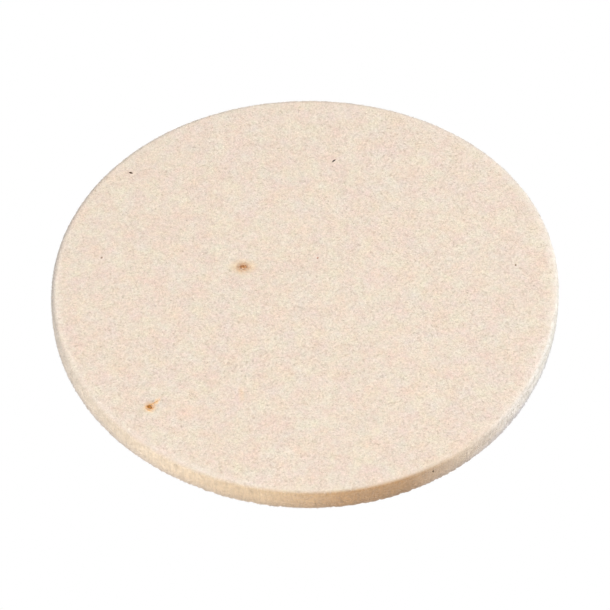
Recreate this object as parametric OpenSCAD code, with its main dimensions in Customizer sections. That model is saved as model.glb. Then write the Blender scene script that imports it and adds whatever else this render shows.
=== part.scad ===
// Felt polishing wheel: one round blank of hard pressed wool felt, sawn to size,
// with the bits of plant that the fleece carried into it. Sizes are in millimetres.
// The origin is the centre of the back face, and +Z points out of the working face.

/* [Felt disc] */
// Diameter of the disc
disc_d = 203.2; // [90:0.1:310]
// Thickness of the disc
disc_t = 9.525; // [5:0.025:20]
// Radius of the soft edge round the working face
face_edge_r = 1.4; // [0.3:0.05:2]
// Radius of the soft edge round the back face
back_edge_r = 0.8; // [0.3:0.05:1.6]

/* [Trapped plant bits] */
// Gap between a trapped bit and the felt that grips it
trap_gap = 0.05; // [0.02:0.01:0.1]
// How far the top of a trapped bit lies below the surface of the felt
flush_gap = 0.05; // [0.02:0.01:0.1]
// Depth of a burr's long axis below the working face
burr_sink = 0.5; // [0.3:0.05:0.8]
// Depth of a chip or splinter into the felt
chip_depth = 0.6; // [0.3:0.05:1.2]

/* [Inner burr] */
// Length of the inner burr
inner_burr_len = 3.7; // [2:0.1:5]
// Width of the inner burr
inner_burr_w = 2.4; // [1.6:0.1:3]
// Distance of the inner burr from the disc's axis
inner_burr_from_axis = 27.3; // [5:0.1:35]
// Direction of the inner burr from the disc's axis, in degrees from +X
inner_burr_at = 157.6; // [0:0.1:360]
// Direction in which the inner burr lies
inner_burr_turn = 6; // [-90:1:90]

/* [Outer burr and its stalk] */
// Length of the outer burr
outer_burr_len = 2.4; // [1.8:0.1:4]
// Width of the outer burr
outer_burr_w = 2.1; // [1.6:0.1:3]
// Distance of the outer burr from the rim
outer_burr_from_rim = 16; // [8:0.1:40]
// Direction of the outer burr from the disc's axis, in degrees from +X
outer_burr_at = 224.7; // [0:0.1:360]
// Direction in which the outer burr and its stalk lie
outer_burr_turn = 47; // [-90:1:90]
// Length of the stalk
stalk_len = 4.4; // [2:0.1:6]
// Width of the stalk where it leaves the burr
stalk_w = 0.8; // [0.5:0.05:1.2]

/* [Splinter and chips] */
// Length of the splinter
splinter_len = 2.2; // [1:0.1:4]
// Width of the splinter
splinter_w = 0.5; // [0.3:0.05:1]
// Distance of the splinter from the rim
splinter_from_rim = 33.7; // [6:0.1:40]
// Direction of the splinter from the disc's axis, in degrees from +X
splinter_at = 80.2; // [0:0.1:360]
// Length of the far left chip
back_chip_len = 1.8; // [0.8:0.1:3]
// Width of the far left chip
back_chip_w = 0.6; // [0.3:0.05:1]
// Distance of the far left chip from the rim
back_chip_from_rim = 7.6; // [4:0.1:40]
// Direction of the far left chip from the disc's axis, in degrees from +X
back_chip_at = 139.8; // [0:0.1:360]
// Length of the left chip
left_chip_len = 0.9; // [0.6:0.1:3]
// Distance of the left chip from the rim
left_chip_from_rim = 18; // [4:0.1:40]
// Direction of the left chip from the disc's axis, in degrees from +X
left_chip_at = 169.4; // [0:0.1:360]
// Length of the right chip
right_chip_len = 0.8; // [0.6:0.1:3]
// Distance of the right chip from the rim
right_chip_from_rim = 16.7; // [4:0.1:40]
// Direction of the right chip from the disc's axis, in degrees from +X
right_chip_at = 7.4; // [0:0.1:360]
// Length of the middle chip
middle_chip_len = 0.9; // [0.6:0.1:3]
// Distance of the middle chip from the disc's axis
middle_chip_from_axis = 15.7; // [0:0.1:20]
// Direction of the middle chip from the disc's axis, in degrees from +X
middle_chip_at = 72.6; // [0:0.1:360]
// Width of the small chips
chip_w = 0.6; // [0.3:0.05:0.9]
// Length of the chip in the rim, up and down
rim_chip_len = 1.2; // [0.6:0.1:2]
// Distance of the rim chip's slot below the soft edge of the working face
rim_chip_below_edge = 0.1; // [0.05:0.05:1]
// Direction of the rim chip from the disc's axis, in degrees from +X
rim_chip_at = -61.6; // [-360:0.1:360]

/* [Hidden] */
disc_r = disc_d / 2;
burr_steps = 10;       // straight steps in a burr's outline, from end to end
splinter_turn = 44;    // directions in which the splinter and chips lie
back_chip_turn = -20;
left_chip_turn = 60;
right_chip_turn = 85;
middle_chip_turn = 30;
point_share = 0.3;     // share of a chip's length in each of its two points
stalk_tip_share = 0.4; // width of the stalk's tip as a share of its root
slot_run_on = trap_gap + 0.3; // how far the stalk's slot runs on into the burr's pocket
slot_end_gap = 2 * trap_gap;    // gaps at a chip's points and sides, which leave trap_gap at its flanks
slot_side_gap = 1.5 * trap_gap;
$fn = 96;

felt_colour = "#ecdccb";
burr_colour = "#a8672f";
stalk_colour = "#d9924a";
chip_colour = "#4a3424";

// A burr's outline about its long axis: the half on one side, or the whole of it
function burr_points(len, w, last) =
    [for (i = [0 : last]) let (a = 180 * i / burr_steps) [w / 2 * sin(a), -len / 2 * cos(a)]];
function half_burr(len, w) = burr_points(len, w, burr_steps);
function whole_burr(len, w) = burr_points(len, w, 2 * burr_steps - 1);

// Puts what follows on the working face, a distance from the axis along a direction
module on_face(from_axis, at, turn) {
    rotate(at) translate([from_axis, 0, disc_t]) rotate(turn - at) children();
}

// Puts what follows on the rim, with its +Z out of the felt and its +X upwards
module on_rim(at, below_face) {
    rotate(at) translate([disc_r, 0, disc_t - below_face]) rotate([0, 90, 0])
        rotate([0, 0, 180]) children();
}

// A burr laid in the face along X: a round husk, longer than it is wide, its top pressed
// level with the felt
module trapped_burr(len, w) {
    difference() {
        translate([0, 0, -burr_sink]) rotate([0, 90, 0]) rotate_extrude() polygon(half_burr(len, w));
        translate([-len, -w, -flush_gap]) cube([2 * len, 2 * w, w]);
    }
}

// The pocket that a burr lies in, open at the surface
module burr_pocket(len, w) {
    depth = burr_sink + w / 2 + trap_gap;
    translate([0, 0, -depth]) linear_extrude(depth + 1) rotate(90)
        polygon(whole_burr(len + 2 * trap_gap, w + 2 * trap_gap));
}

// Outline of a chip along X, with a point at each end
module chip_outline(len, w) {
    x_point = len / 2;
    x_side = len * (0.5 - point_share);
    polygon([[-x_point, 0], [-x_side, -w / 2], [x_side, -w / 2],
             [x_point, 0], [x_side, w / 2], [-x_side, w / 2]]);
}

// Outline of a stalk that leaves the origin along X and narrows to its tip, grown by the grip
// gap for its slot, whose root runs on into the burr's pocket
module stalk_outline(len, w, grow, root_run_on) {
    root = w / 2 + grow;
    tip = w * stalk_tip_share / 2 + grow;
    polygon([[-root_run_on, -root], [len + grow, -tip], [len + grow, tip], [-root_run_on, root]]);
}

// A chip or a stalk as it lies trapped
module trapped_flat() {
    translate([0, 0, -chip_depth]) linear_extrude(chip_depth - flush_gap) children();
}

// The slot that it lies in, open at the surface
module slot_for_flat() {
    translate([0, 0, -chip_depth - trap_gap]) linear_extrude(chip_depth + 1) children();
}

// Places of the trapped bits, shared by each bit and its pocket
module at_inner_burr() { on_face(inner_burr_from_axis, inner_burr_at, inner_burr_turn) children(); }
module at_outer_burr() {
    on_face(disc_r - outer_burr_from_rim, outer_burr_at, outer_burr_turn) children();
}
module at_stalk() { at_outer_burr() translate([outer_burr_len / 2 + trap_gap, 0, 0]) children(); }
module at_splinter() { on_face(disc_r - splinter_from_rim, splinter_at, splinter_turn) children(); }
module at_back_chip() { on_face(disc_r - back_chip_from_rim, back_chip_at, back_chip_turn) children(); }
module at_left_chip() { on_face(disc_r - left_chip_from_rim, left_chip_at, left_chip_turn) children(); }
module at_right_chip() {
    on_face(disc_r - right_chip_from_rim, right_chip_at, right_chip_turn) children();
}
module at_middle_chip() { on_face(middle_chip_from_axis, middle_chip_at, middle_chip_turn) children(); }
module at_rim_chip() {
    on_rim(rim_chip_at, face_edge_r + rim_chip_below_edge + rim_chip_len / 2 + slot_end_gap) children();
}

// Section of the disc from its axis to its rim, with the two soft edges
module disc_section() {
    square([disc_r - max(face_edge_r, back_edge_r), disc_t]);
    translate([0, back_edge_r]) square([disc_r, disc_t - face_edge_r - back_edge_r]);
    translate([disc_r - face_edge_r, disc_t - face_edge_r]) circle(face_edge_r);
    translate([disc_r - back_edge_r, back_edge_r]) circle(back_edge_r);
}

// A chip's outline grown all round for its pocket
module chip_slot(len, w) { chip_outline(len + 2 * slot_end_gap, w + 2 * slot_side_gap); }

module felt_disc() {
    color(felt_colour) difference() {
        rotate_extrude() disc_section();
        at_inner_burr() burr_pocket(inner_burr_len, inner_burr_w);
        at_outer_burr() burr_pocket(outer_burr_len, outer_burr_w);
        at_stalk() slot_for_flat() stalk_outline(stalk_len, stalk_w, trap_gap, slot_run_on);
        at_splinter() slot_for_flat() chip_slot(splinter_len, splinter_w);
        at_back_chip() slot_for_flat() chip_slot(back_chip_len, back_chip_w);
        at_left_chip() slot_for_flat() chip_slot(left_chip_len, chip_w);
        at_right_chip() slot_for_flat() chip_slot(right_chip_len, chip_w);
        at_middle_chip() slot_for_flat() chip_slot(middle_chip_len, chip_w);
        at_rim_chip() slot_for_flat() chip_slot(rim_chip_len, chip_w);
    }
}

module inner_burr() { color(burr_colour) at_inner_burr() trapped_burr(inner_burr_len, inner_burr_w); }
module outer_burr() { color(burr_colour) at_outer_burr() trapped_burr(outer_burr_len, outer_burr_w); }
module outer_burr_stalk() {
    color(stalk_colour) at_stalk() trapped_flat() stalk_outline(stalk_len, stalk_w, 0, 0);
}
module splinter() { color(chip_colour) at_splinter() trapped_flat() chip_outline(splinter_len, splinter_w); }
module back_chip() {
    color(chip_colour) at_back_chip() trapped_flat() chip_outline(back_chip_len, back_chip_w);
}
module left_chip() { color(chip_colour) at_left_chip() trapped_flat() chip_outline(left_chip_len, chip_w); }
module right_chip() { color(chip_colour) at_right_chip() trapped_flat() chip_outline(right_chip_len, chip_w); }
module middle_chip() {
    color(chip_colour) at_middle_chip() trapped_flat() chip_outline(middle_chip_len, chip_w);
}
module rim_chip() { color(chip_colour) at_rim_chip() trapped_flat() chip_outline(rim_chip_len, chip_w); }

felt_disc();
inner_burr();
outer_burr();
outer_burr_stalk();
splinter();
back_chip();
left_chip();
right_chip();
middle_chip();
rim_chip();
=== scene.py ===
import math

import bpy
import numpy as np
from mathutils import Matrix, Vector
from mathutils.bvhtree import BVHTree


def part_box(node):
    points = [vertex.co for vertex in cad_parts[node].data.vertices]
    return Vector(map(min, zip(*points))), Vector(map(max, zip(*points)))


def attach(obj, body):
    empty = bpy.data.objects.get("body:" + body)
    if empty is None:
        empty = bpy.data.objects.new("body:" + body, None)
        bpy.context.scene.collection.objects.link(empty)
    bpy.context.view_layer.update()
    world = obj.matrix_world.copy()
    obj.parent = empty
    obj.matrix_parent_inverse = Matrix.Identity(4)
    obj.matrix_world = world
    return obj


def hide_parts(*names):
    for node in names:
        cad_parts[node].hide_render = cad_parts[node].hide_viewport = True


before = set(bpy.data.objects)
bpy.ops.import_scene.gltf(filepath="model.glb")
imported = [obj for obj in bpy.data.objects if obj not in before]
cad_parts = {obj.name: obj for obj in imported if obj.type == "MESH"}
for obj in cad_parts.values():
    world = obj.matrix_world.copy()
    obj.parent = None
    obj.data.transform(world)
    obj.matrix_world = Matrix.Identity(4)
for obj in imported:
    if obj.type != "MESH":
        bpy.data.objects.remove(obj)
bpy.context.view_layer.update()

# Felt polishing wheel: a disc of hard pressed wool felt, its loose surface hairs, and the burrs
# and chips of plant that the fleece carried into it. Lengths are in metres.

MM = 0.001
SEED = 20


# ---------------------------------------------------------------------------------------------
# Sizes, from the frame

disc_low, disc_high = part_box("felt_disc")
DISC_R = (disc_high.x - disc_low.x) / 2
DISC_T = disc_high.z - disc_low.z


def middle(node):
    """Middle of a CAD node's box."""
    low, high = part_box(node)
    return (low + high) / 2


INNER_BURR = middle("inner_burr")
OUTER_BURR = middle("outer_burr")
STALK = middle("outer_burr_stalk")
# The disc is cut slightly out of round: how many lobes, how high each is, and where the first is,
# in degrees from +X
LOBES = ((2, 0.36 * MM, 55), (3, 0.81 * MM, 41), (4, 0.31 * MM, 31))
CHIPS = ("splinter", "back_chip", "left_chip", "right_chip", "middle_chip")


# ---------------------------------------------------------------------------------------------
# Camera, light and floor

VIEW_HEIGHT = math.radians(50.94)    # camera's height above the horizon
VIEW_DISTANCE = 14 * DISC_R          # a long way off, so the disc shows little perspective
VIEW_LENS = 209.0                    # mm
SENSOR = 36                          # mm
VIEW_AIM = Vector((-0.0046, -0.0163, 0)) * DISC_R
VIEW_ROLL = math.radians(-0.19)
WALLS = "#F7F6F4"
FILL = "#FFF1E4"
FILL_STRENGTH = 0.22
WHITE = "#FFFFFF"
FLOOR_SIZE = 12


def make_camera():
    data = bpy.data.cameras.new("camera")
    data.sensor_width = SENSOR
    data.lens = VIEW_LENS
    data.clip_start = 0.05
    data.clip_end = 100
    camera = bpy.data.objects.new("camera", data)
    bpy.context.collection.objects.link(camera)
    camera.location = Vector((0, -math.cos(VIEW_HEIGHT), math.sin(VIEW_HEIGHT))) * VIEW_DISTANCE
    aim = (VIEW_AIM - camera.location).to_track_quat("-Z", "Y")
    roll = Matrix.Rotation(VIEW_ROLL, 4, "Z")
    camera.rotation_euler = (aim.to_matrix().to_4x4() @ roll).to_euler()
    bpy.context.scene.camera = camera


def softbox(name, azimuth, height, distance, size, strength, colour):
    """A square soft light that faces the disc. azimuth is in degrees from +X towards +Y, height in
    degrees above the horizon, and strength the white level it gives a surface that faces it."""
    data = bpy.data.lights.new(name, "AREA")
    data.shape = "SQUARE"
    data.size = size
    data.energy = strength * math.pi ** 2 * distance ** 2
    data.color = colour
    lamp = bpy.data.objects.new(name, data)
    bpy.context.collection.objects.link(lamp)
    a, h = math.radians(azimuth), math.radians(height)
    towards = Vector((math.cos(a) * math.cos(h), math.sin(a) * math.cos(h), math.sin(h)))
    lamp.location = towards * distance
    lamp.rotation_euler = (-lamp.location).to_track_quat("-Z", "Y").to_euler()
    lamp.visible_camera = False


def linear(code):
    """An sRGB hex colour as linear red, green, blue and alpha."""
    parts = [int(code[i:i + 2], 16) / 255 for i in (1, 3, 5)]
    return tuple(c / 12.92 if c <= 0.04045 else ((c + 0.055) / 1.055) ** 2.4
                 for c in parts) + (1.0,)


def add(tree, kind, inputs=(), **settings):
    """Adds a node with its settings, and sets or links its inputs by name or number."""
    node = tree.nodes.new(kind)
    for name, value in settings.items():
        setattr(node, name, value)
    for name, value in dict(inputs).items():
        if isinstance(value, bpy.types.NodeSocket):
            tree.links.new(value, node.inputs[name])
        else:
            node.inputs[name].default_value = value
    return node


def make_studio():
    softbox("softbox_right", azimuth=22, height=28, distance=1.8, size=0.9, strength=0.96,
            colour=(0.96, 0.985, 1.0))
    softbox("softbox_left", azimuth=232, height=28, distance=1.8, size=0.9, strength=0.82,
            colour=(1.0, 0.97, 0.93))
    softbox("softbox_top", azimuth=270, height=76, distance=3.0, size=3.0, strength=0.60,
            colour=(1.0, 0.99, 0.97))
    world = bpy.data.worlds.new("studio")
    bpy.context.scene.world = world
    world.use_nodes = True
    tree = world.node_tree
    tree.nodes.clear()
    walls = add(tree, "ShaderNodeBackground", {"Color": linear(WALLS), "Strength": 1.0})
    fill = add(tree, "ShaderNodeBackground", {"Color": linear(FILL), "Strength": FILL_STRENGTH})
    path = add(tree, "ShaderNodeLightPath")
    mix = add(tree, "ShaderNodeMixShader",
              {0: path.outputs["Is Camera Ray"], 1: fill.outputs[0], 2: walls.outputs[0]})
    add(tree, "ShaderNodeOutputWorld", {"Surface": mix.outputs[0]})


def make_floor():
    bpy.ops.mesh.primitive_plane_add(size=FLOOR_SIZE, location=(0, 0, disc_low.z))
    floor = bpy.context.object
    floor.name = "floor"
    paint = bpy.data.materials.new("matt_white_paint")
    paint.use_nodes = True
    tree = paint.node_tree
    tree.nodes.clear()
    shader = add(tree, "ShaderNodeBsdfDiffuse", {"Color": linear(WHITE)})
    # The camera sees it as plain white with no shadow on it, as a product's backdrop is
    glow = add(tree, "ShaderNodeEmission", {"Color": linear(WHITE), "Strength": 1.0})
    path = add(tree, "ShaderNodeLightPath")
    mix = add(tree, "ShaderNodeMixShader",
              {0: path.outputs["Is Camera Ray"], 1: shader.outputs[0], 2: glow.outputs[0]})
    add(tree, "ShaderNodeOutputMaterial", {"Surface": mix.outputs[0]})
    floor.data.materials.append(paint)


make_camera()
make_studio()
make_floor()
scene = bpy.context.scene
scene.view_settings.view_transform = "Standard"
scene.view_settings.look = "None"


# ---------------------------------------------------------------------------------------------
# Materials

FELT = "#E4D7CD"
CLUMP = 1.8 * MM           # clumps of matted fibre
GRAIN = 0.7 * MM           # the finer grain of the fibres in them
GRAIN_SHADE = "#DFDDDA"
FELT_RELIEF = 0.15 * MM
PLANT_RELIEF = 0.05 * MM
# How the wool's shade drifts over the felt: size of a patch, its own shift, and its two tints
DRIFTS = ((8 * MM, 0.0, "#F7FFFB", "#FAF3F1"), (7 * MM, 0.4, "#FCFAFF", "#FFFFF8"))
# The rim's wool with the light and shade on it painted in, by direction in degrees from +X: painted
# shade grey at the left and back, cream at the front left, tan shade just right of the front, and
# painted light pale grey at the right
RIM_WOOL_AND_PAINTED_LIGHT = ((-180, "#A39F9D"), (-155, "#C4BBB0"), (-125, "#CFC1AE"), (-100, "#C6B195"),
            (-82, "#AC8B66"), (-68, "#A5845F"), (-54, "#C3B3A1"), (-38, "#D6D0CA"),
            (-15, "#DAD9D4"), (20, "#D6CFC6"), (90, "#B9AEA1"), (180, "#A39F9D"))
# Painted highlight and shade along the soft edge of the face, by direction: pale where it faces the
# lamps, darker at the front right and towards the back
EDGE_PAINTED_LIGHT = ((-180, "#E6E1DB"), (-108, "#E6E1DB"), (-88, "#D6C8B6"), (-50, "#D6C8B6"),
             (-30, "#E6E1DB"), (30, "#E6E1DB"), (75, "#D3CABE"), (160, "#D3CABE"),
             (180, "#E6E1DB"))
EDGE_PAINTED_LIGHT_STRENGTH = 0.22
STREAK = 0.9 * MM          # width of the upright streaks on the rim
STREAK_STRETCH = 5
STREAK_DARK, STREAK_LIGHT = 0.84, 1.15
# Painted shade that greys the foot of the rim, where it meets the floor
FOOT_PAINTED_SHADE = "#E2E5F2"
FOOT_PAINTED_SHADE_HEIGHT = 4.5 * MM     # how far the painted shade at the foot reaches up the rim
RAGGED = 1.6 * MM          # size and depth of the ragged edge of a stain
# Wool stained by the burrs: middle, reach, stretch, turn, colour, strength
STAINS = ((INNER_BURR, 4.6 * MM, (1.4, 1.05, 1.0), 0.1, "#D9C09C", 0.7),
          (INNER_BURR, 2.9 * MM, (1.25, 0.95, 1.0), 0.1, "#C08E64", 0.8),
          (OUTER_BURR, 3.1 * MM, (1.1, 1.0, 1.0), 0.8, "#EBCDA6", 0.85),
          (STALK, 1.5 * MM, (2.1, 0.8, 1.0), 0.82, "#E3C29A", 0.75))
# Faint marks on the face: place as shares of the disc's radius, then as for the stains
MARKS = ((-0.25, -0.527, 2.6 * MM, (0.6, 1.9, 1.0), 0.1, "#E3BC86", 0.30),
         (-0.465, -0.622, 5.0 * MM, (1.2, 0.8, 1.0), 0.3, "#DDB6A4", 0.35),
         (-0.637, -0.617, 2.2 * MM, (1.0, 1.6, 1.0), 0.0, "#B8AE9C", 0.45),
         (-0.624, 0.223, 3.0 * MM, (1.5, 0.8, 1.0), 0.2, "#C9BCA9", 0.35))


def new_material(name):
    made = bpy.data.materials.new(name)
    made.use_nodes = True
    made.node_tree.nodes.clear()
    return made, made.node_tree


def finish_material(tree, colour, roughness, height=None, depth=0.0, **constants):
    """The shader and its output. height is a socket in 0 to 1, and depth its relief in metres."""
    inputs = {"Base Color": colour, "Roughness": roughness}
    if height is not None:
        bump = add(tree, "ShaderNodeBump", {"Height": height, "Distance": depth, "Strength": 1.0})
        inputs["Normal"] = bump.outputs[0]
    shader = add(tree, "ShaderNodeBsdfPrincipled", inputs)
    for name, value in constants.items():
        shader.inputs[name.replace("_", " ")].default_value = value
    add(tree, "ShaderNodeOutputMaterial", {"Surface": shader.outputs[0]})


def noise(tree, where, size, **more):
    """Noise whose lumps are about size metres across."""
    return add(tree, "ShaderNodeTexNoise", {"Vector": where, "Scale": 1 / size, **more})


def mix_colour(tree, share, one, other, blend="MIX"):
    made = add(tree, "ShaderNodeMix", {0: share, 6: one, 7: other}, data_type="RGBA",
               blend_type=blend)
    return made.outputs[2]


def span(tree, value, low, high, to_low=0.0, to_high=1.0):
    """Maps low..high to to_low..to_high, and holds it at both ends."""
    made = add(tree, "ShaderNodeMapRange", {"Value": value, "From Min": low, "From Max": high,
                                            "To Min": to_low, "To Max": to_high})
    return made.outputs[0]


def stain(tree, where, centre, reach, stretch, turn):
    """1 at a centre, falling to 0 at reach metres, longer where stretch is more than 1."""
    local = add(tree, "ShaderNodeMapping",
                {"Vector": where, "Location": centre, "Rotation": (0, 0, turn), "Scale": stretch},
                vector_type="TEXTURE")
    ragged = noise(tree, where, RAGGED, Detail=2)
    push = add(tree, "ShaderNodeVectorMath", {0: ragged.outputs["Color"], 1: (0.5, 0.5, 0.5)},
               operation="SUBTRACT")
    pushed = add(tree, "ShaderNodeVectorMath",
                 {0: push.outputs[0], 1: (RAGGED,) * 3, 2: local.outputs[0]},
                 operation="MULTIPLY_ADD")
    away = add(tree, "ShaderNodeVectorMath", {0: pushed.outputs[0]}, operation="LENGTH")
    return span(tree, away.outputs["Value"], reach, 0.0)


def maths(tree, operation, *values):
    """One sum on sockets or numbers."""
    made = add(tree, "ShaderNodeMath", enumerate(values), operation=operation)
    return made.outputs[0]


def edge_radius(tree, angle):
    """The radius of the disc's outline in a direction, with its lobes."""
    radius = DISC_R
    for n, high, at in LOBES:
        turned = maths(tree, "MULTIPLY_ADD", angle, float(n), -n * math.radians(at))
        radius = maths(tree, "MULTIPLY_ADD", maths(tree, "COSINE", turned), high, radius)
    return radius


def by_direction(tree, angle, colours):
    """A colour for each direction from the disc's axis."""
    ramp = add(tree, "ShaderNodeValToRGB", {"Fac": span(tree, angle, -math.pi, math.pi)})
    stops = ramp.color_ramp.elements
    for at, _ in colours[1:-1]:
        stops.new(at / 360 + 0.5)
    for stop, (at, code) in zip(stops, colours):
        stop.color = linear(code)
    return ramp.outputs[0]


def pressed_wool(tree, where):
    """Cream wool, which drifts to pink or grey-green, and to straw or lilac, every few millimetres,
    where fibres of different fleeces lie together, under a fine grain."""
    base = linear(FELT)
    for size, start, one, other in DRIFTS:
        moved = add(tree, "ShaderNodeVectorMath", {0: where, 1: (start, start, 0)})
        field = noise(tree, moved.outputs[0], size, Detail=3, Roughness=0.75)
        tint = mix_colour(tree, span(tree, field.outputs[0], 0.3, 0.7), linear(one), linear(other))
        base = mix_colour(tree, 1.0, base, tint, "MULTIPLY")
    grain = noise(tree, where, GRAIN, Detail=3, Roughness=0.8)
    shade = mix_colour(tree, span(tree, grain.outputs[0], 0.35, 0.65), linear(GRAIN_SHADE),
                       linear(WHITE))
    return mix_colour(tree, 1.0, base, shade, "MULTIPLY")


def rim_and_edge(tree, where, base):
    """The sawn rim, streaked and of another shade than the face, with light and shade painted on it
    by direction, a painted highlight and shade along its soft edge, and painted shade greying its
    foot."""
    place = add(tree, "ShaderNodeSeparateXYZ", {0: where}).outputs
    flat = add(tree, "ShaderNodeCombineXYZ", {0: place[0], 1: place[1]})
    from_axis = add(tree, "ShaderNodeVectorMath", {0: flat.outputs[0]}, operation="LENGTH")
    angle = maths(tree, "ARCTAN2", place[1], place[0])
    inward = maths(tree, "SUBTRACT", edge_radius(tree, angle), from_axis.outputs["Value"])
    # Along the section: below 0 down the rim, 0 at the middle of the soft edge, above 0 in on the
    # face
    section = maths(tree, "SUBTRACT", inward, maths(tree, "SUBTRACT", disc_high.z, place[2]))
    outside = span(tree, inward, 3.5 * MM, 2.5 * MM)
    on_rim = maths(tree, "MULTIPLY", outside, span(tree, section, 1.9 * MM, -0.2 * MM))
    # The saw has combed the rim's fibres into upright streaks
    upright = add(tree, "ShaderNodeMapping", {"Vector": where, "Scale": (1, 1, STREAK_STRETCH)},
                  vector_type="TEXTURE")
    combed = noise(tree, upright.outputs[0], STREAK, Detail=3, Roughness=0.7)
    streaks = span(tree, combed.outputs[0], 0.3, 0.7, STREAK_DARK, STREAK_LIGHT)
    # The rim's wool with its painted light and shade by direction, streaked
    rim_wool_and_painted_light = mix_colour(tree, 1.0, by_direction(tree, angle, RIM_WOOL_AND_PAINTED_LIGHT), streaks, "MULTIPLY")
    base = mix_colour(tree, on_rim, base, rim_wool_and_painted_light)
    # A band of painted highlight and shade along the soft edge of the face
    crest = maths(tree, "MULTIPLY", span(tree, section, 0.4 * MM, 2.0 * MM, 0, EDGE_PAINTED_LIGHT_STRENGTH),
                  span(tree, section, 4.2 * MM, 2.2 * MM))
    base = mix_colour(tree, crest, base, by_direction(tree, angle, EDGE_PAINTED_LIGHT))
    # Painted shade greys the rim's foot, fading out upwards
    greyed = maths(tree, "MULTIPLY", outside,
                  span(tree, place[2], disc_low.z + FOOT_PAINTED_SHADE_HEIGHT, disc_low.z))
    return mix_colour(tree, greyed, base, linear(FOOT_PAINTED_SHADE), "MULTIPLY")


def wool_colour(tree, where):
    """The wool's shade anywhere on the disc, with its stains and marks, and the light and shade
    painted on its rim and edge.
    """
    base = rim_and_edge(tree, where, pressed_wool(tree, where))
    for centre, reach, stretch, turn, shade, strength in STAINS:
        mask = stain(tree, where, centre, reach, stretch, turn)
        base = mix_colour(tree, span(tree, mask, 0.0, 0.6, 0, strength), base, linear(shade))
    for x, y, reach, stretch, turn, shade, strength in MARKS:
        centre = (x * DISC_R, y * DISC_R, disc_high.z)
        mask = stain(tree, where, centre, reach, stretch, turn)
        base = mix_colour(tree, span(tree, mask, 0.0, 1.0, 0, strength), base, linear(shade))
    return base


def felt_material():
    """Hard pressed wool felt, sawn to shape: quite matt, grained by matted fibres and finer than a
    millimetre, with a soft sheen from the hairs that stand out of it."""
    made, tree = new_material("pressed_wool_felt")
    where = add(tree, "ShaderNodeTexCoord").outputs["Object"]
    clumps = noise(tree, where, CLUMP, Detail=3, Roughness=0.6)
    fibres = noise(tree, where, GRAIN, Detail=4, Roughness=0.75)
    base = wool_colour(tree, where)
    relief = maths(tree, "ADD", fibres.outputs[0], clumps.outputs[0])
    roughness = span(tree, fibres.outputs[0], 0.3, 0.7, 0.85, 1.0)
    finish_material(tree, base, roughness, relief, FELT_RELIEF,
                    Sheen_Weight=0.25, Sheen_Roughness=0.5, Specular_IOR_Level=0.2)
    return made


def hair_material(name, code, own):
    """Single wool hairs: matt, and too thin to hold a pattern, so they take the shade of the wool
    that they lie on. own is how far that is drawn towards a shade of their own."""
    made, tree = new_material(name)
    where = add(tree, "ShaderNodeTexCoord").outputs["Object"]
    tint = mix_colour(tree, own, wool_colour(tree, where), linear(code))
    finish_material(tree, tint, 0.9, Sheen_Weight=0.2, Specular_IOR_Level=0.2)
    return made


def plant_material(name, shades, spot, grain=(1, 1, 1), turn=0.0):
    """Dry plant matter: matt and brittle, mottled from one shade to the next by spots of a size,
    which grain draws out along the piece."""
    made, tree = new_material(name)
    where = add(tree, "ShaderNodeTexCoord").outputs["Object"]
    local = add(tree, "ShaderNodeMapping",
                {"Vector": where, "Rotation": (0, 0, turn), "Scale": grain}, vector_type="TEXTURE")
    spots = noise(tree, local.outputs[0], spot, Detail=4, Roughness=0.65)
    ramp = add(tree, "ShaderNodeValToRGB", {"Fac": span(tree, spots.outputs[0], 0.3, 0.7)})
    stops = ramp.color_ramp.elements
    for n in range(1, len(shades) - 1):
        stops.new(n / (len(shades) - 1))
    for stop, code in zip(stops, shades):
        stop.color = linear(code)
    rough = span(tree, spots.outputs[0], 0.3, 0.7, 0.6, 0.85)
    finish_material(tree, ramp.outputs[0], rough, spots.outputs[0], PLANT_RELIEF,
                    Specular_IOR_Level=0.35)
    return made


# ---------------------------------------------------------------------------------------------
# Modelling helpers

def select_only(piece):
    if bpy.context.object and bpy.context.object.mode != "OBJECT":
        bpy.ops.object.mode_set(mode="OBJECT")
    bpy.ops.object.select_all(action="DESELECT")
    piece.select_set(True)
    bpy.context.view_layer.objects.active = piece


def pick(piece, kind, wanted):
    """In edit mode, selects just the vertices, edges or faces for which wanted is true."""
    bpy.ops.mesh.select_mode(type={"vertices": "VERT", "edges": "EDGE", "polygons": "FACE"}[kind])
    bpy.ops.mesh.select_all(action="DESELECT")
    bpy.ops.object.mode_set(mode="OBJECT")
    for part in getattr(piece.data, kind):
        part.select = bool(wanted(part))
    bpy.ops.object.mode_set(mode="EDIT")


def apply_modifier(piece, kind, **settings):
    select_only(piece)
    made = piece.modifiers.new(kind.lower(), kind)
    for name, value in settings.items():
        setattr(made, name, value)
    bpy.ops.object.modifier_apply(modifier=made.name)


def place_in_mesh(piece):
    """Moves the piece's place into its mesh, so that the object sits at the origin."""
    select_only(piece)
    bpy.ops.object.transform_apply(location=True, rotation=True, scale=True)


def clouds(name, size, depth=2):
    made = bpy.data.textures.new(name, "CLOUDS")
    made.noise_scale = size
    made.noise_depth = depth
    return made


def roughen(piece, name, size, strength, depth=2):
    """Pushes the surface in and out by clouds of a size, strength metres in all."""
    apply_modifier(piece, "DISPLACE", texture=clouds(name, size, depth), mid_level=0.5,
                   strength=strength, direction="NORMAL", texture_coords="LOCAL")


def stretch_picked(along_x, along_y, along_z, centre=(0, 0, 0)):
    bpy.ops.transform.resize(value=(along_x, along_y, along_z), center_override=centre)


def settle(piece, name, material, slot, *nodes):
    """Names a finished piece, gives it its material and body, and hides the CAD nodes that it
    stands for.
    """
    piece.name = name
    piece.data.name = name
    piece.data.materials.clear()
    piece.data.materials.append(material)
    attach(piece, "root")
    if nodes:
        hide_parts(*nodes)


# ---------------------------------------------------------------------------------------------
# The felt disc

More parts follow.
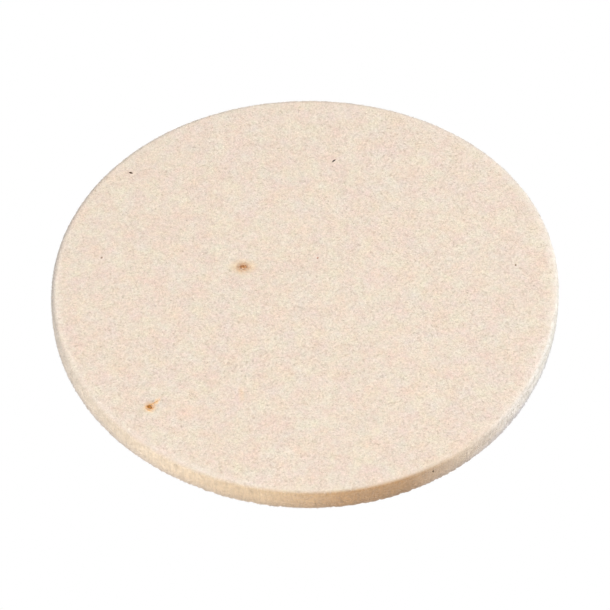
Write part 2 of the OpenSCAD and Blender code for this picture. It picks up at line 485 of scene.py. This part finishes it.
FACE_EDGE = 1.4 * MM       # radius of the soft edge round the face
BACK_EDGE = 0.5 * MM       # and round the back
ROUND_STEPS = 512
VOXEL = 0.88 * MM
DIMPLE_DEPTH = 0.3 * MM
DIMPLE_REACH = 2.0 * MM


def out_of_round(angle):
    """How far the lobes stand out of the true circle, in a direction."""
    return sum(high * np.cos(n * (angle - math.radians(at))) for n, high, at in LOBES)


def make_body():
    """The felt: a soft-edged blank remeshed even, trued to its section, and pressed lumpy."""
    bpy.ops.object.select_all(action="DESELECT")
    bpy.ops.mesh.primitive_cylinder_add(vertices=ROUND_STEPS, radius=DISC_R, depth=DISC_T,
                                        location=(0, 0, disc_low.z + DISC_T / 2))
    body = bpy.context.object
    place_in_mesh(body)
    bpy.ops.object.mode_set(mode="EDIT")
    for level, radius, steps in ((disc_high.z, FACE_EDGE, 5), (disc_low.z, BACK_EDGE, 3)):
        pick(body, "edges", lambda e: all(abs(body.data.vertices[v].co.z - level) < 1e-6
                                          for v in e.vertices))
        bpy.ops.mesh.bevel(offset=radius, segments=steps, affect="EDGES")
    bpy.ops.object.mode_set(mode="OBJECT")
    apply_modifier(body, "REMESH", mode="VOXEL", voxel_size=VOXEL)
    apply_modifier(body, "SMOOTH", factor=0.5, iterations=2)

    # Remeshing blunts the edges, so each point near them goes back to the disc's section
    mesh = body.data
    points = np.empty(len(mesh.vertices) * 3, np.float32)
    mesh.vertices.foreach_get("co", points)
    points = points.reshape(-1, 3)
    angle = np.arctan2(points[:, 1], points[:, 0])
    far = np.hypot(points[:, 0], points[:, 1])
    high = points[:, 2] - disc_low.z
    upper = high > DISC_T / 2
    edge = np.where(upper, FACE_EDGE, BACK_EDGE)
    out = np.maximum(far - (DISC_R - edge), 0)
    up = np.maximum(np.where(upper, high - (DISC_T - edge), edge - high), 0)
    away = np.hypot(out, up)
    grow = np.where(away > 0.3 * edge, edge / np.maximum(away, 1e-9), 1.0)
    far += out * (grow - 1)
    high += np.where(upper, 1, -1) * up * (grow - 1)
    points[:, 0] = far * np.cos(angle)
    points[:, 1] = far * np.sin(angle)
    points[:, 2] = disc_low.z + high

    # Cut out of round
    points[:, :2] *= (1 + out_of_round(angle) / DISC_R)[:, None]
    # The wool is drawn down a little round each burr
    for burr in (INNER_BURR, OUTER_BURR):
        away = np.hypot(points[:, 0] - burr.x, points[:, 1] - burr.y)
        drawn = DIMPLE_DEPTH * np.exp(-(away / DIMPLE_REACH) ** 2)
        points[:, 2] -= drawn * (points[:, 2] > DISC_T / 2)
    mesh.vertices.foreach_set("co", points.ravel())

    # Pressed lumps over the whole surface, and finer nubs of matted wool
    roughen(body, "pressed_lumps", 14 * MM, 0.14 * MM, depth=1)
    roughen(body, "wool_nubs", 2.6 * MM, 0.09 * MM, depth=3)
    for v in body.data.vertices:
        v.co.z = max(v.co.z, disc_low.z)
    select_only(body)
    bpy.ops.object.shade_smooth()
    settle(body, "felt_disc_body", felt_material(), "wool_felt", "felt_disc")
    return body


body = make_body()


# ---------------------------------------------------------------------------------------------
# Burrs, stalk, splinter and chips

INNER_STRIPS, INNER_RINGS = 36, 18     # strips round the inner burr, and rings along it
HOOKS = 90
SEED_STRIPS, SEED_RINGS = 24, 14
HUSK_STRIPS = 36
STALK_STRIPS, STALK_RINGS = 12, 12
CHIP_VOXEL = 0.06 * MM
CHIP_LIFT = 0.28 * MM                  # how far a chip stands up out of the face
RIM_CHIP_PROUD = 0.25 * MM


def lie_of(node):
    """How a long CAD node lies in the face: its middle, direction, half length and half width."""
    points = np.array([v.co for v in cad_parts[node].data.vertices])
    centre = (points.min(axis=0) + points.max(axis=0)) / 2
    flat = points[:, :2] - centre[:2]
    far = flat[np.argmax(np.hypot(flat[:, 0], flat[:, 1]))]
    half = math.hypot(far[0], far[1])
    wide = np.abs(flat[:, 0] * far[1] - flat[:, 1] * far[0]).max() / half
    return Vector(centre), math.atan2(far[1], far[0]), half, wide


def turn_and_move(piece, turn, place):
    """Turns a piece that was modelled at the origin, along X, and moves it to its place."""
    piece.rotation_euler.z = turn
    piece.location = place
    place_in_mesh(piece)


def husk_form(radius_long, radius_wide, segments, rings):
    """A closed pointed husk along X, left in edit mode."""
    bpy.ops.object.select_all(action="DESELECT")
    bpy.ops.mesh.primitive_uv_sphere_add(segments=segments, ring_count=rings, radius=1,
                                         rotation=(0, math.pi / 2, 0))
    husk = bpy.context.object
    husk.scale = (radius_wide, radius_wide, radius_long)
    place_in_mesh(husk)
    bpy.ops.object.mode_set(mode="EDIT")
    return husk


def round_x(v, count):
    """Which of count equal strips round the X axis a vertex lies on."""
    return round(math.atan2(v.co.z, v.co.y) / (2 * math.pi) * count) % count


def make_inner_burr():
    """A ribbed burr with short broken hooks, its top just proud of the felt."""
    centre, turn, half, wide = lie_of("inner_burr")
    burr = husk_form(half, wide, INNER_STRIPS, INNER_RINGS)
    # Grooves between the ribs
    pick(burr, "vertices", lambda v: round_x(v, INNER_STRIPS) % 3 == 0)
    stretch_picked(1, 0.84, 0.84)
    # Broken hooks stand on the ribs
    random = np.random.default_rng(SEED + 1)
    chosen = set(random.choice(INNER_STRIPS * INNER_RINGS, HOOKS, replace=False).tolist())
    pick(burr, "polygons", lambda f: f.index in chosen and abs(f.center.x) < 0.8 * half)
    bpy.ops.mesh.inset(thickness=0.06 * MM, depth=0.16 * MM, use_individual=True)
    bpy.ops.object.mode_set(mode="OBJECT")
    apply_modifier(burr, "SUBSURF", levels=1, render_levels=1)
    roughen(burr, "burr_dents", 0.7 * MM, 0.3 * MM)
    bpy.ops.object.shade_smooth()
    turn_and_move(burr, turn, (centre.x, centre.y, disc_high.z - 0.5 * wide))
    shades = ("#4A2A16", "#84562F", "#BE8C5E", "#DDB288")
    settle(burr, "inner_burr_husk", plant_material("dry_burr_husk", shades, 0.7 * MM),
           "burr_shell", "inner_burr")


def make_seed():
    """The brown seed of the outer burr, with a seam along its top and a pinched beak."""
    centre, turn, half, wide = lie_of("outer_burr")
    seed = husk_form(half, 0.85 * wide, SEED_STRIPS, SEED_RINGS)
    pick(seed, "vertices", lambda v: round_x(v, SEED_STRIPS) == SEED_STRIPS / 4)
    bpy.ops.transform.translate(value=(0, 0, -0.16 * MM))
    pick(seed, "vertices", lambda v: v.co.x > 0.75 * half)
    stretch_picked(1.1, 0.6, 0.7)
    bpy.ops.object.mode_set(mode="OBJECT")
    apply_modifier(seed, "SUBSURF", levels=1, render_levels=1)
    roughen(seed, "seed_dents", 0.5 * MM, 0.12 * MM)
    bpy.ops.object.shade_smooth()
    turn_and_move(seed, turn - 1.4,
                  (centre.x - 0.25 * MM, centre.y + 0.1 * MM, disc_high.z - 0.2 * MM))
    settle(seed, "outer_burr_seed",
           plant_material("dark_seed_coat", ("#5A3410", "#9A6628", "#C08A48"), 0.55 * MM),
           "burr_shell", "outer_burr")


def make_torn_husk():
    """The torn orange husk round the seed, with lobes pulled out and others worn away."""
    centre, turn, half, _ = lie_of("outer_burr")
    bpy.ops.object.select_all(action="DESELECT")
    bpy.ops.mesh.primitive_torus_add(major_segments=HUSK_STRIPS, minor_segments=10,
                                     major_radius=1.15 * half, minor_radius=0.42 * MM)
    husk = bpy.context.object
    place_in_mesh(husk)
    bpy.ops.object.mode_set(mode="EDIT")

    def strip(v):
        return round(math.atan2(v.co.y, v.co.x) / (2 * math.pi) * HUSK_STRIPS) % HUSK_STRIPS

    for strips, out, high in (((0, 1, 11, 12, 22, 23), 1.18, 1.5), ((5, 6, 17, 29, 30), 0.86, 0.5),
                              ((9, 20, 33, 34), 1.1, 0.7)):
        pick(husk, "vertices", lambda v: strip(v) in strips)
        stretch_picked(out, out, high)
    bpy.ops.mesh.select_all(action="SELECT")
    stretch_picked(1, 0.9, 0.7)
    bpy.ops.object.mode_set(mode="OBJECT")
    apply_modifier(husk, "SUBSURF", levels=2, render_levels=2)
    roughen(husk, "husk_tears", 0.45 * MM, 0.4 * MM)
    bpy.ops.object.shade_smooth()
    turn_and_move(husk, turn, (centre.x, centre.y, disc_high.z - 0.18 * MM))
    settle(husk, "outer_burr_husk",
           plant_material("torn_orange_husk", ("#C88E52", "#E2B580", "#EFD0A8"), 0.5 * MM),
           "burr_shell")


def make_stalk():
    """A stalk that narrows from the burr to a frayed tip, ribbed along its length."""
    centre, turn, half, wide = lie_of("outer_burr_stalk")
    away = Vector((math.cos(turn), math.sin(turn), 0))
    if away.dot(centre - OUTER_BURR) < 0:
        turn += math.pi
    bpy.ops.object.select_all(action="DESELECT")
    bpy.ops.mesh.primitive_cylinder_add(vertices=STALK_STRIPS, radius=0.9 * wide, depth=2 * half,
                                        rotation=(0, math.pi / 2, 0))
    stalk = bpy.context.object
    place_in_mesh(stalk)
    bpy.ops.object.mode_set(mode="EDIT")
    for n in range(1, STALK_RINGS):
        bpy.ops.mesh.select_all(action="SELECT")
        bpy.ops.mesh.bisect(plane_co=((2 * n / STALK_RINGS - 1) * half, 0, 0), plane_no=(1, 0, 0))
    pick(stalk, "vertices", lambda v: round_x(v, STALK_STRIPS) % 2 == 0)
    stretch_picked(1, 0.72, 0.72)
    # Each ring is narrower than the last, and strays a little to one side
    for n in range(STALK_RINGS + 1):
        x = (2 * n / STALK_RINGS - 1) * half
        pick(stalk, "vertices", lambda v: abs(v.co.x - x) < 0.01 * MM)
        narrow = 1 - 0.72 * (n / STALK_RINGS) ** 0.8
        stretch_picked(1, narrow, 0.7 * narrow, centre=(x, 0, 0))
        bpy.ops.transform.translate(value=(0, 0.16 * MM * math.sin(5.2 * n / STALK_RINGS), 0))
    bpy.ops.object.mode_set(mode="OBJECT")
    apply_modifier(stalk, "SUBSURF", levels=1, render_levels=1)
    roughen(stalk, "stalk_fray", 0.4 * MM, 0.14 * MM)
    bpy.ops.object.shade_smooth()
    turn_and_move(stalk, turn, (centre.x, centre.y, disc_high.z - 0.05 * MM))
    material = plant_material("dry_stalk", ("#A87644", "#C79A66", "#DDBC92"), 0.3 * MM,
                              grain=(5, 1, 1), turn=turn)
    settle(stalk, "burr_stalk", material, "burr_stalk", "outer_burr_stalk")


def make_chip(node, material, lift):
    """A chip: its CAD solid remade fine, broken ragged, and lifted so that its top shows."""
    bpy.ops.object.select_all(action="DESELECT")
    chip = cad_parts[node].copy()
    chip.data = chip.data.copy()
    chip.parent = None
    bpy.context.collection.objects.link(chip)
    select_only(chip)
    bpy.ops.object.mode_set(mode="EDIT")
    bpy.ops.mesh.select_all(action="SELECT")
    bpy.ops.mesh.remove_doubles(threshold=0.001 * MM)
    bpy.ops.transform.translate(value=lift)
    bpy.ops.object.mode_set(mode="OBJECT")
    apply_modifier(chip, "REMESH", mode="VOXEL", voxel_size=CHIP_VOXEL)
    apply_modifier(chip, "SMOOTH", factor=0.5, iterations=2)
    roughen(chip, node + "_breaks", 0.3 * MM, 0.22 * MM)
    bpy.ops.object.shade_smooth()
    settle(chip, node + "_bit", material, "dark_chip", node)


def make_plant_bits():
    make_inner_burr()
    make_seed()
    make_torn_husk()
    make_stalk()
    black = plant_material("black_splinter", ("#0B0805", "#1E150D", "#3A2A1B"), 0.25 * MM,
                           grain=(4, 1, 1), turn=0.77)
    dark = plant_material("dark_plant_chip", ("#21160D", "#4A3522", "#7C6348"), 0.5 * MM)
    greyed = plant_material("dusty_plant_chip", ("#5E4A38", "#8A735C", "#A08A72"), 0.3 * MM)
    red = plant_material("reddish_plant_chip", ("#8E5E4C", "#AE7C6A", "#C89C8C"), 0.3 * MM)
    for node, material in (("splinter", black), ("back_chip", dark), ("left_chip", greyed),
                           ("right_chip", greyed), ("middle_chip", red)):
        make_chip(node, material, (0, 0, CHIP_LIFT))
    out = middle("rim_chip")
    angle = math.atan2(out.y, out.x)
    proud = out_of_round(angle) + RIM_CHIP_PROUD
    make_chip("rim_chip", dark, (proud * math.cos(angle), proud * math.sin(angle), 0))


make_plant_bits()


# ---------------------------------------------------------------------------------------------
# Wool hairs on the surface of the felt

HAIR_RINGS = 4
HAIR_RADIUS = 0.05 * MM     # a real hair is about a third as thick, which would be too fine to show
RIM_START = 0.5 * MM        # how far outside the rim a place for a hair is drawn
CLEAR_OF_BURR = 2.4 * MM
CLEAR_OF_CHIP = 1.1 * MM


def model_hair():
    """One straight hair, one unit long and one in radius: a three-sided rod with rings along it and
    narrow tips. Returns its points and faces, which are bent and copied for every hair."""
    bpy.ops.object.select_all(action="DESELECT")
    bpy.ops.mesh.primitive_cylinder_add(vertices=3, radius=1, depth=1, location=(0, 0, 0.5))
    rod = bpy.context.object
    place_in_mesh(rod)
    bpy.ops.object.mode_set(mode="EDIT")
    for ring in range(1, HAIR_RINGS - 1):
        bpy.ops.mesh.select_all(action="SELECT")
        bpy.ops.mesh.bisect(plane_co=(0, 0, ring / (HAIR_RINGS - 1)), plane_no=(0, 0, 1))
    pick(rod, "vertices", lambda v: min(v.co.z, 1 - v.co.z) < 1e-6)
    bpy.ops.transform.resize(value=(0.3, 0.3, 1), center_override=(0, 0, 0))
    bpy.ops.object.mode_set(mode="OBJECT")
    points = np.array([v.co for v in rod.data.vertices])
    faces = [tuple(f.vertices) for f in rod.data.polygons]
    bpy.data.objects.remove(rod, do_unlink=True)
    return points, faces


hair_points, hair_faces = model_hair()
surface = BVHTree.FromObject(body, bpy.context.evaluated_depsgraph_get())


def unit(vectors):
    return vectors / np.maximum(np.linalg.norm(vectors, axis=-1, keepdims=True), 1e-12)


def on_surface(points):
    """The nearest points of the felt's surface, and its normals there."""
    found = [surface.find_nearest(p)[:2] for p in points.reshape(-1, 3).tolist()]
    places = np.array([f[0] for f in found]).reshape(points.shape)
    normals = np.array([f[1] for f in found]).reshape(points.shape)
    return places, normals


def lay_hairs(name, material, random, starts, length, curl, lie, stand, lean=None):
    """Lays a hair on the felt from every start. length is its range in metres and curl its bend in
    radians. lie is how high a hair rides above the surface, and stand how far its loose end stands
    out of it. lean turns the hairs of a rim towards lying along it, as a spread in radians."""
    count = len(starts)
    starts, normals = on_surface(starts)
    spread = random.uniform(-math.pi, math.pi, count)
    if lean is None:
        across = np.tile((1.0, 0.0, 0.0), (count, 1))
    else:
        across = np.cross((0.0, 0.0, 1.0), normals)
        spread = random.normal(0, lean, count)
    across = unit(across - normals * (across * normals).sum(-1, keepdims=True))
    along = np.cross(normals, across)

    share = np.linspace(0, 1, HAIR_RINGS)
    bend = random.normal(0, curl, (count, 1)) * (share - 0.5)
    wave = random.normal(0, curl * 0.6, (count, 1)) * np.sin(
        2 * math.pi * (share + random.uniform(0, 1, (count, 1))))
    heading = spread[:, None] + bend + wave
    step = random.uniform(*length, (count, 1)) / (HAIR_RINGS - 1)
    a = np.cumsum(np.cos(heading) * step, axis=1)
    b = np.cumsum(np.sin(heading) * step, axis=1)
    a -= a[:, HAIR_RINGS // 2, None]
    b -= b[:, HAIR_RINGS // 2, None]
    line = starts[:, None] + a[..., None] * across[:, None] + b[..., None] * along[:, None]
    line, out = on_surface(line)
    high = random.uniform(*lie, (count, 1)) * np.sin(math.pi * (0.15 + 0.7 * share))
    loose = random.uniform(*stand, (count, 1)) * share ** 2
    line = line + out * (high + loose)[..., None]

    ahead = unit(np.gradient(line, axis=1))
    side = unit(np.cross(ahead, out))
    up = np.cross(side, ahead)
    ring = np.rint(hair_points[:, 2] * (HAIR_RINGS - 1)).astype(int)
    thick = HAIR_RADIUS * random.uniform(0.7, 1.3, (count, 1, 1))
    points = line[:, ring] + thick * (side[:, ring] * hair_points[:, 0, None]
                                      + up[:, ring] * hair_points[:, 1, None])
    points[..., 2] = np.maximum(points[..., 2], disc_low.z)
    faces = [tuple(v + n * len(hair_points) for v in face)
             for n in range(count) for face in hair_faces]
    mesh = bpy.data.meshes.new(name)
    mesh.from_pydata(points.reshape(-1, 3).tolist(), [], faces)
    hairs = bpy.data.objects.new(name, mesh)
    bpy.context.collection.objects.link(hairs)
    settle(hairs, name, material, "wool_felt")


def over_face(random, count, level):
    """Random places all over a face, at a level."""
    far = DISC_R * np.sqrt(random.uniform(0, 1, count))
    at = random.uniform(-math.pi, math.pi, count)
    return np.stack([far * np.cos(at), far * np.sin(at), np.full(count, level)], axis=-1)


def over_rim(random, count, low, high):
    """Random places round the rim between two levels, just outside it."""
    at = random.uniform(-math.pi, math.pi, count)
    far = DISC_R + RIM_START
    return np.stack([far * np.cos(at), far * np.sin(at), random.uniform(low, high, count)], axis=-1)


def round_bit(random, count, centre, reach):
    """Random places on the face near a trapped bit."""
    far = reach * np.sqrt(random.uniform(0, 1, count))
    at = random.uniform(-math.pi, math.pi, count)
    return np.stack([centre.x + far * np.cos(at), centre.y + far * np.sin(at),
                     np.full(count, disc_high.z)], axis=-1)


def clear_of_bits(starts):
    """Leaves out the hairs that would hide a burr or a chip."""
    kept = np.ones(len(starts), bool)
    burrs = [(INNER_BURR, CLEAR_OF_BURR), (OUTER_BURR, CLEAR_OF_BURR)]
    for centre, reach in burrs + [(middle(node), CLEAR_OF_CHIP) for node in CHIPS]:
        kept &= np.hypot(starts[:, 0] - centre.x, starts[:, 1] - centre.y) > reach
    return starts[kept]


def make_hairs():
    random = np.random.default_rng(SEED)
    white = hair_material("bleached_wool_hair", "#FBF6EF", 0.6)
    cream = hair_material("cream_wool_hair", "#E8DDD3", 0.5)
    straw = hair_material("straw_wool_hair", "#E6DACC", 0.5)
    rose = hair_material("rose_wool_hair", "#E8D6CD", 0.5)
    grey = hair_material("grey_wool_hair", "#C6BCB0", 0.6)
    rim_cream = hair_material("rim_wool_hair", "#EAE1D8", 0.25)
    rim_straw = hair_material("rim_straw_hair", "#E4D9C9", 0.25)
    top, foot = disc_high.z, disc_low.z
    for name, material in (("white", white), ("cream", cream), ("straw", straw), ("rose", rose),
                           ("grey", grey)):
        lay_hairs("face_hairs_" + name, material, random,
                  clear_of_bits(over_face(random, 9500, top)), length=(0.6 * MM, 1.7 * MM),
                  curl=1.8, lie=(0.0, 0.14 * MM), stand=(-0.04 * MM, 0.1 * MM))
    lay_hairs("face_fuzz", white, random, clear_of_bits(over_face(random, 8000, top)),
              length=(0.6 * MM, 1.5 * MM), curl=1.4, lie=(0.0, 0.06 * MM),
              stand=(0.05 * MM, 0.3 * MM))
    for name, material in (("cream", rim_cream), ("straw", rim_straw)):
        lay_hairs("rim_hairs_" + name, material, random,
                  over_rim(random, 6500, foot + 0.3 * MM, top - 0.3 * MM),
                  length=(0.8 * MM, 2.2 * MM), curl=1.4, lie=(0.0, 0.1 * MM),
                  stand=(-0.04 * MM, 0.1 * MM), lean=0.7)
    lay_hairs("rim_fuzz", rim_cream, random, over_rim(random, 7000, foot, top + 0.3 * MM),
              length=(0.6 * MM, 1.6 * MM), curl=1.2, lie=(0.0, 0.06 * MM),
              stand=(0.1 * MM, 0.5 * MM))
    lay_hairs("back_hairs", cream, random, over_face(random, 7000, foot),
              length=(0.8 * MM, 2.4 * MM), curl=1.8, lie=(0.0, 0.04 * MM), stand=(0.0, 0.0))
    over_burrs = np.concatenate([round_bit(random, 90, INNER_BURR, 2.6 * MM),
                                 round_bit(random, 70, OUTER_BURR, 2.6 * MM)])
    lay_hairs("burr_hairs", straw, random, over_burrs, length=(1.0 * MM, 2.6 * MM), curl=1.2,
              lie=(0.25 * MM, 0.7 * MM), stand=(-0.1 * MM, 0.1 * MM))


make_hairs()
